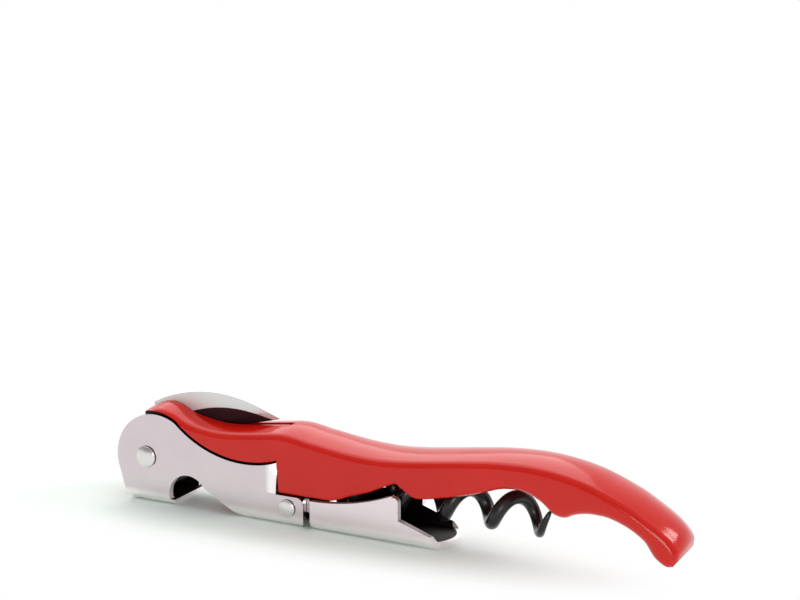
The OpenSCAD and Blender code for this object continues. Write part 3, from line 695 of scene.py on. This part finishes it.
def turned_rivet(name, at, shank, head, dome):
    """A rivet turned about Y: shank, flat under each head, rolled rim, and a dome that falls as r squared."""
    seat = HALF_W + 0.03
    rim = 0.22
    a = np.radians(np.linspace(-90, 70, 9))
    t = np.linspace(1, 0, 12)[1:]
    lip_r = head - rim + rim * np.cos(a)
    lip_y = seat + rim + rim * np.sin(a)
    cap_r = np.maximum(lip_r[-1] * t, 0.02)
    cap_y = seat + dome - (seat + dome - lip_y[-1]) * t * t
    r = np.concatenate([[shank], lip_r, cap_r])
    y = np.concatenate([[seat], lip_y, cap_y])
    r, y = np.concatenate([r[::-1], r])[:, None], np.concatenate([-y[::-1], y])[:, None]
    turn = np.radians(np.arange(0, 360, 6))
    rings = np.stack([at[0] + r * np.cos(turn), y + 0 * turn, at[1] + r * np.sin(turn)], -1)
    return new_piece(name, tube_mesh(name, rings))


enamel = red_enamel()
sheet = plated_sheet("nickel_plated_sheet", "#cdc0c4", "#faf5f5", 0.2, tab_highlight=0.9)
# Painted light: the foot's sheet is a lighter copy of the lever's, so that its side looks more brightly lit.
foot_sheet_painted_lighter = plated_sheet("nickel_plated_sheet_painted_lighter", "#e0d3d7", "#faf5f5", 0.2)
# Painted shade: the faces inside the folds of lever and foot are painted near black.
fold_inside_shade = plated_sheet("painted_shade_inside_the_fold", "#1d1a1a", "#262221", 0.5, "#f3eeee")
# Painted shade on the lever's upper edge behind the head.
upper_edge_shade = plated_sheet("painted_shade_on_upper_edge", "#1a1413", "#241c1b", 0.5)
# Painted highlight on the rim of the crown cap notch and on the foot's upper and end edges.
edge_highlight = plated_sheet("painted_highlight_on_edges", "#f3eeee", "#fbf8f8", 0.5)
rivet_mat = rivet_steel()
coating = black_coating()

casting = handle()
finish_piece(casting, "handle", "handle_body", [enamel, painted_recess_shade()],
             angle=32, edge=0.18, segments=2)
centre, normal = face_values(casting)
# The strip round the recess and the notch relief are painted near black as shade.
in_strip = (np.abs(np.abs(centre[:, 1]) - SHADE_STRIP_Y) < FACE_SLACK / 2) & (np.abs(normal[:, 1]) > 0.99)
in_notch = from_notch(centre) < NOTCH_RELIEF_R + 2 * FACE_SLACK
casting.data.polygons.foreach_set("material_index", (in_strip | in_notch).astype(np.int32))

finish_piece(worm(), "worm_arm", "worm", [coating], angle=40)

# Finishes of the sheet pieces, in the order of their materials.
OUTSIDE, SHADED_INSIDE, SHADED_EDGE, HIGHLIGHT = range(4)
for name, node, body, outer in (
        ("folded_lever", "lever", "lever_arm", sheet), ("folded_foot", "foot", "foot_arm", foot_sheet_painted_lighter)):
    piece = merged_copy(name, node)
    finish_piece(piece, body, node, [outer, fold_inside_shade, upper_edge_shade, edge_highlight],
                 angle=28, edge=0.3, segments=3)
    centre, normal = face_values(piece)
    x, y, z = centre[:, 0], np.abs(centre[:, 1]), centre[:, 2]
    sideways, up = np.abs(normal[:, 1]), normal[:, 2]
    outwards = np.sign(centre[:, 1]) * normal[:, 1] > 0.5
    # Faces inside the fold take the painted shade.
    inside = (y < HALF_W - SHEET_T + FACE_SLACK) & (z > SHEET_T - FACE_SLACK) & ~outwards
    kind = np.where(inside, SHADED_INSIDE, OUTSIDE)
    if node == "lever":
        # The upper edge behind the head is painted dark as shade. The edge of the notch gets a painted
        # highlight.
        behind_head, above_waist = x > 3.0, z > 10.4
        upper_edge = ~inside & behind_head & above_waist & (sideways < 0.2) & (up > 0.1)
        kind = np.where(upper_edge, SHADED_EDGE, kind)
        bright = (from_notch(centre) < NOTCH_RIM_R) & (sideways < 0.5)
    else:
        # The upper and end edges of the cheeks are painted bright as highlights.
        bright = (y > HALF_W - SHEET_T - 0.05) & (sideways < 0.5) & (up > -0.2)
    kind = np.where(bright, HIGHLIGHT, kind)
    piece.data.polygons.foreach_set("material_index", kind.astype(np.int32))

for name, node, body, at, shank, head, dome in (
        ("lever_rivet_heads", "lever_rivet", "handle", RIVET, RIVET_R, 2.25, 0.75),
        ("foot_rivet_heads", "foot_rivet", "lever_arm", FOOT_PIN, FOOT_PIN_R, 1.8, 0.6)):
    finish_piece(turned_rivet(name, at, shank, head, dome), body, node, [rivet_mat], angle=50)
finish_piece(merged_copy("worm_pin_ends", "worm_pin"), "handle", "worm_pin", [rivet_mat],
             angle=28, edge=0.08, segments=2)
finish_piece(merged_copy("foil_blade", "knife_blade"), "blade", "knife_blade",
             [ground_steel()], angle=28, edge=0.05, segments=2)


def paper_sweep():
    """Pale matt paper with a fine tooth, which fades to plain white away from the tool."""
    mat, tree, surface = blank_material("pale_paper_sweep")
    place = add(tree, "ShaderNodeTexCoord").outputs["Object"]
    # Paper tooth about 2 mm across.
    tooth = add(tree, "ShaderNodeTexNoise", {"Vector": place, "Scale": cells(2), "Detail": 3.0})
    bump = add(tree, "ShaderNodeBump", {
        "Height": tooth.outputs["Fac"], "Strength": 0.02, "Distance": 0.5 * MM})
    paper = add(tree, "ShaderNodeBsdfPrincipled", {
        "Base Color": linear("#f0f8f2"), "Roughness": 0.8, "Specular IOR Level": 0.1,
        "Normal": bump.outputs["Normal"]})
    white = add(tree, "ShaderNodeEmission", {"Color": (1.0, 1.0, 1.0, 1.0), "Strength": 1.0})
    clear = add(tree, "ShaderNodeBsdfTransparent")
    # The paper fades to white in an oval round the tool. Past it the floor gives way to the white surround,
    # so that lever and worm still show where they swing below the plane that the shut tool rests on.
    oval = add(tree, "ShaderNodeVectorMath", {0: place, 1: (0.46, 1.93, 1.0)}, operation="MULTIPLY")
    away = add(tree, "ShaderNodeVectorMath", {
        0: oval.outputs[0], 1: (9.7 * MM, -9.7 * MM, 0.0)}, operation="DISTANCE")
    fade = add(tree, "ShaderNodeMapRange", {
        "Value": away.outputs["Value"], "From Min": 12 * MM, "From Max": 46 * MM,
        "To Min": 0.0, "To Max": 1.0}, interpolation_type="SMOOTHERSTEP")
    end = add(tree, "ShaderNodeMapRange", {
        "Value": away.outputs["Value"], "From Min": 36 * MM, "From Max": 46 * MM,
        "To Min": 0.0, "To Max": 1.0})
    # Seen from below, the paper is clear, so that the underside shows.
    under = add(tree, "ShaderNodeNewGeometry").outputs["Backfacing"]
    gone = add(tree, "ShaderNodeMath", {0: end.outputs["Result"], 1: under}, operation="MAXIMUM")
    ray = add(tree, "ShaderNodeLightPath").outputs
    seen = add(tree, "ShaderNodeMath", {0: ray["Is Camera Ray"], 1: ray["Is Glossy Ray"]}, operation="ADD")
    shown = add(tree, "ShaderNodeMath", {0: seen.outputs[0], 1: ray["Is Transmission Ray"]}, operation="ADD",
                use_clamp=True)
    white_part = add(tree, "ShaderNodeMath", {
        0: shown.outputs[0], 1: fade.outputs["Result"]}, operation="MULTIPLY")
    open_part = add(tree, "ShaderNodeMath", {
        0: ray["Is Camera Ray"], 1: gone.outputs[0]}, operation="MULTIPLY")
    faded = add(tree, "ShaderNodeMixShader", {
        0: white_part.outputs[0], 1: paper.outputs["BSDF"], 2: white.outputs["Emission"]})
    sweep = add(tree, "ShaderNodeMixShader", {
        0: open_part.outputs[0], 1: faded.outputs["Shader"], 2: clear.outputs["BSDF"]})
    tree.links.new(sweep.outputs["Shader"], surface)
    return mat


def floor():
    """A flat square of two by two faces, a hair below the plane that the tool rests on."""
    half, drop = 5.0, 0.02 * MM
    u = np.linspace(-half, half, 3)
    gx, gy = np.meshgrid(u, u, indexing="ij")
    mesh = bpy.data.meshes.new("floor")
    mesh.from_pydata(np.stack([gx, gy, 0 * gx - drop], -1).reshape(-1, 3).tolist(), [],
                     [(0, 3, 4, 1), (1, 4, 5, 2), (3, 6, 7, 4), (4, 7, 8, 5)])
    mesh.materials.append(paper_sweep())
    new_piece("floor", mesh)


def surround():
    """A soft bright room, dimmer in front of the tool than behind it, and plain white to the eye."""
    world = bpy.data.worlds.new("soft_surround")
    world.use_nodes = True
    sky = world.node_tree
    sky.nodes.clear()
    way = add(sky, "ShaderNodeTexCoord").outputs["Generated"]
    towards = add(sky, "ShaderNodeSeparateXYZ", {0: way}).outputs
    depth = add(sky, "ShaderNodeMapRange", {
        "Value": towards["Y"], "From Min": -1.0, "From Max": 0.6, "To Min": 0.27, "To Max": 0.9})
    height = add(sky, "ShaderNodeMapRange", {
        "Value": towards["Z"], "From Min": 0.1, "From Max": 0.9, "To Min": 0.0, "To Max": 0.1})
    level = add(sky, "ShaderNodeMath", {
        0: depth.outputs["Result"], 1: height.outputs["Result"]}, operation="ADD")
    room = add(sky, "ShaderNodeBackground", {"Color": linear("#fafcfc"), "Strength": level.outputs[0]})
    plain = add(sky, "ShaderNodeBackground", {"Color": (1.0, 1.0, 1.0, 1.0), "Strength": 1.0})
    # Metal and gloss mirror the plain white behind the tool, and the dimmer room in front.
    ray = add(sky, "ShaderNodeLightPath").outputs
    mirror = add(sky, "ShaderNodeMath", {
        0: ray["Is Glossy Ray"], 1: ray["Is Transmission Ray"]}, operation="ADD")
    behind = add(sky, "ShaderNodeMapRange", {
        "Value": towards["Y"], "From Min": 0.45, "From Max": 0.75, "To Min": 0.0, "To Max": 1.0})
    mirrored = add(sky, "ShaderNodeMath", {
        0: mirror.outputs[0], 1: behind.outputs["Result"]}, operation="MULTIPLY")
    white_seen = add(sky, "ShaderNodeMath", {
        0: ray["Is Camera Ray"], 1: mirrored.outputs[0]}, operation="ADD", use_clamp=True)
    mixed = add(sky, "ShaderNodeMixShader", {
        0: white_seen.outputs[0], 1: room.outputs[0], 2: plain.outputs[0]})
    add(sky, "ShaderNodeOutputWorld", {"Surface": mixed.outputs[0]})
    bpy.context.scene.world = world


def lamps():
    """Three square area lamps that look at the tool: a large softbox, a low fill and a small lamp."""
    aim = Vector((0.05, 0, 0.01))
    for name, spot, size, watts in (
            ("overhead_softbox", (-0.25, 0.3, 0.6), 0.9, 3.3),
            ("low_front_fill", (0.25, -0.6, 0.06), 0.3, 1.5),
            ("small_lamp", (0.55, 0.32, 0.46), 0.17, 0.85)):
        light = bpy.data.lights.new(name, "AREA")
        light.size = size
        light.energy = watts
        lamp = bpy.data.objects.new(name, light)
        lamp.location = spot
        lamp.rotation_euler = (aim - Vector(spot)).to_track_quat("-Z", "Y").to_euler()
        bpy.context.scene.collection.objects.link(lamp)


def camera():
    """The photograph's camera: 26.9 degrees round to the right, looking 11.8 degrees down."""
    turn, pitch = math.radians(26.8851), math.radians(11.8129)
    focal_px, image_px = 1677.73, 800
    cam = bpy.data.cameras.new("photo_camera")
    cam.sensor_fit = "HORIZONTAL"
    cam.sensor_width = 36.0
    cam.lens = focal_px / image_px * cam.sensor_width
    cam.clip_start = 0.01
    obj = bpy.data.objects.new("photo_camera", cam)
    obj.location = (0.195417, -0.276682, 0.111390)
    obj.rotation_euler = (math.pi / 2 - pitch, 0, turn)
    bpy.context.scene.collection.objects.link(obj)
    bpy.context.scene.camera = obj


floor()
surround()
lamps()
camera()
bpy.context.scene.view_settings.view_transform = "Standard"
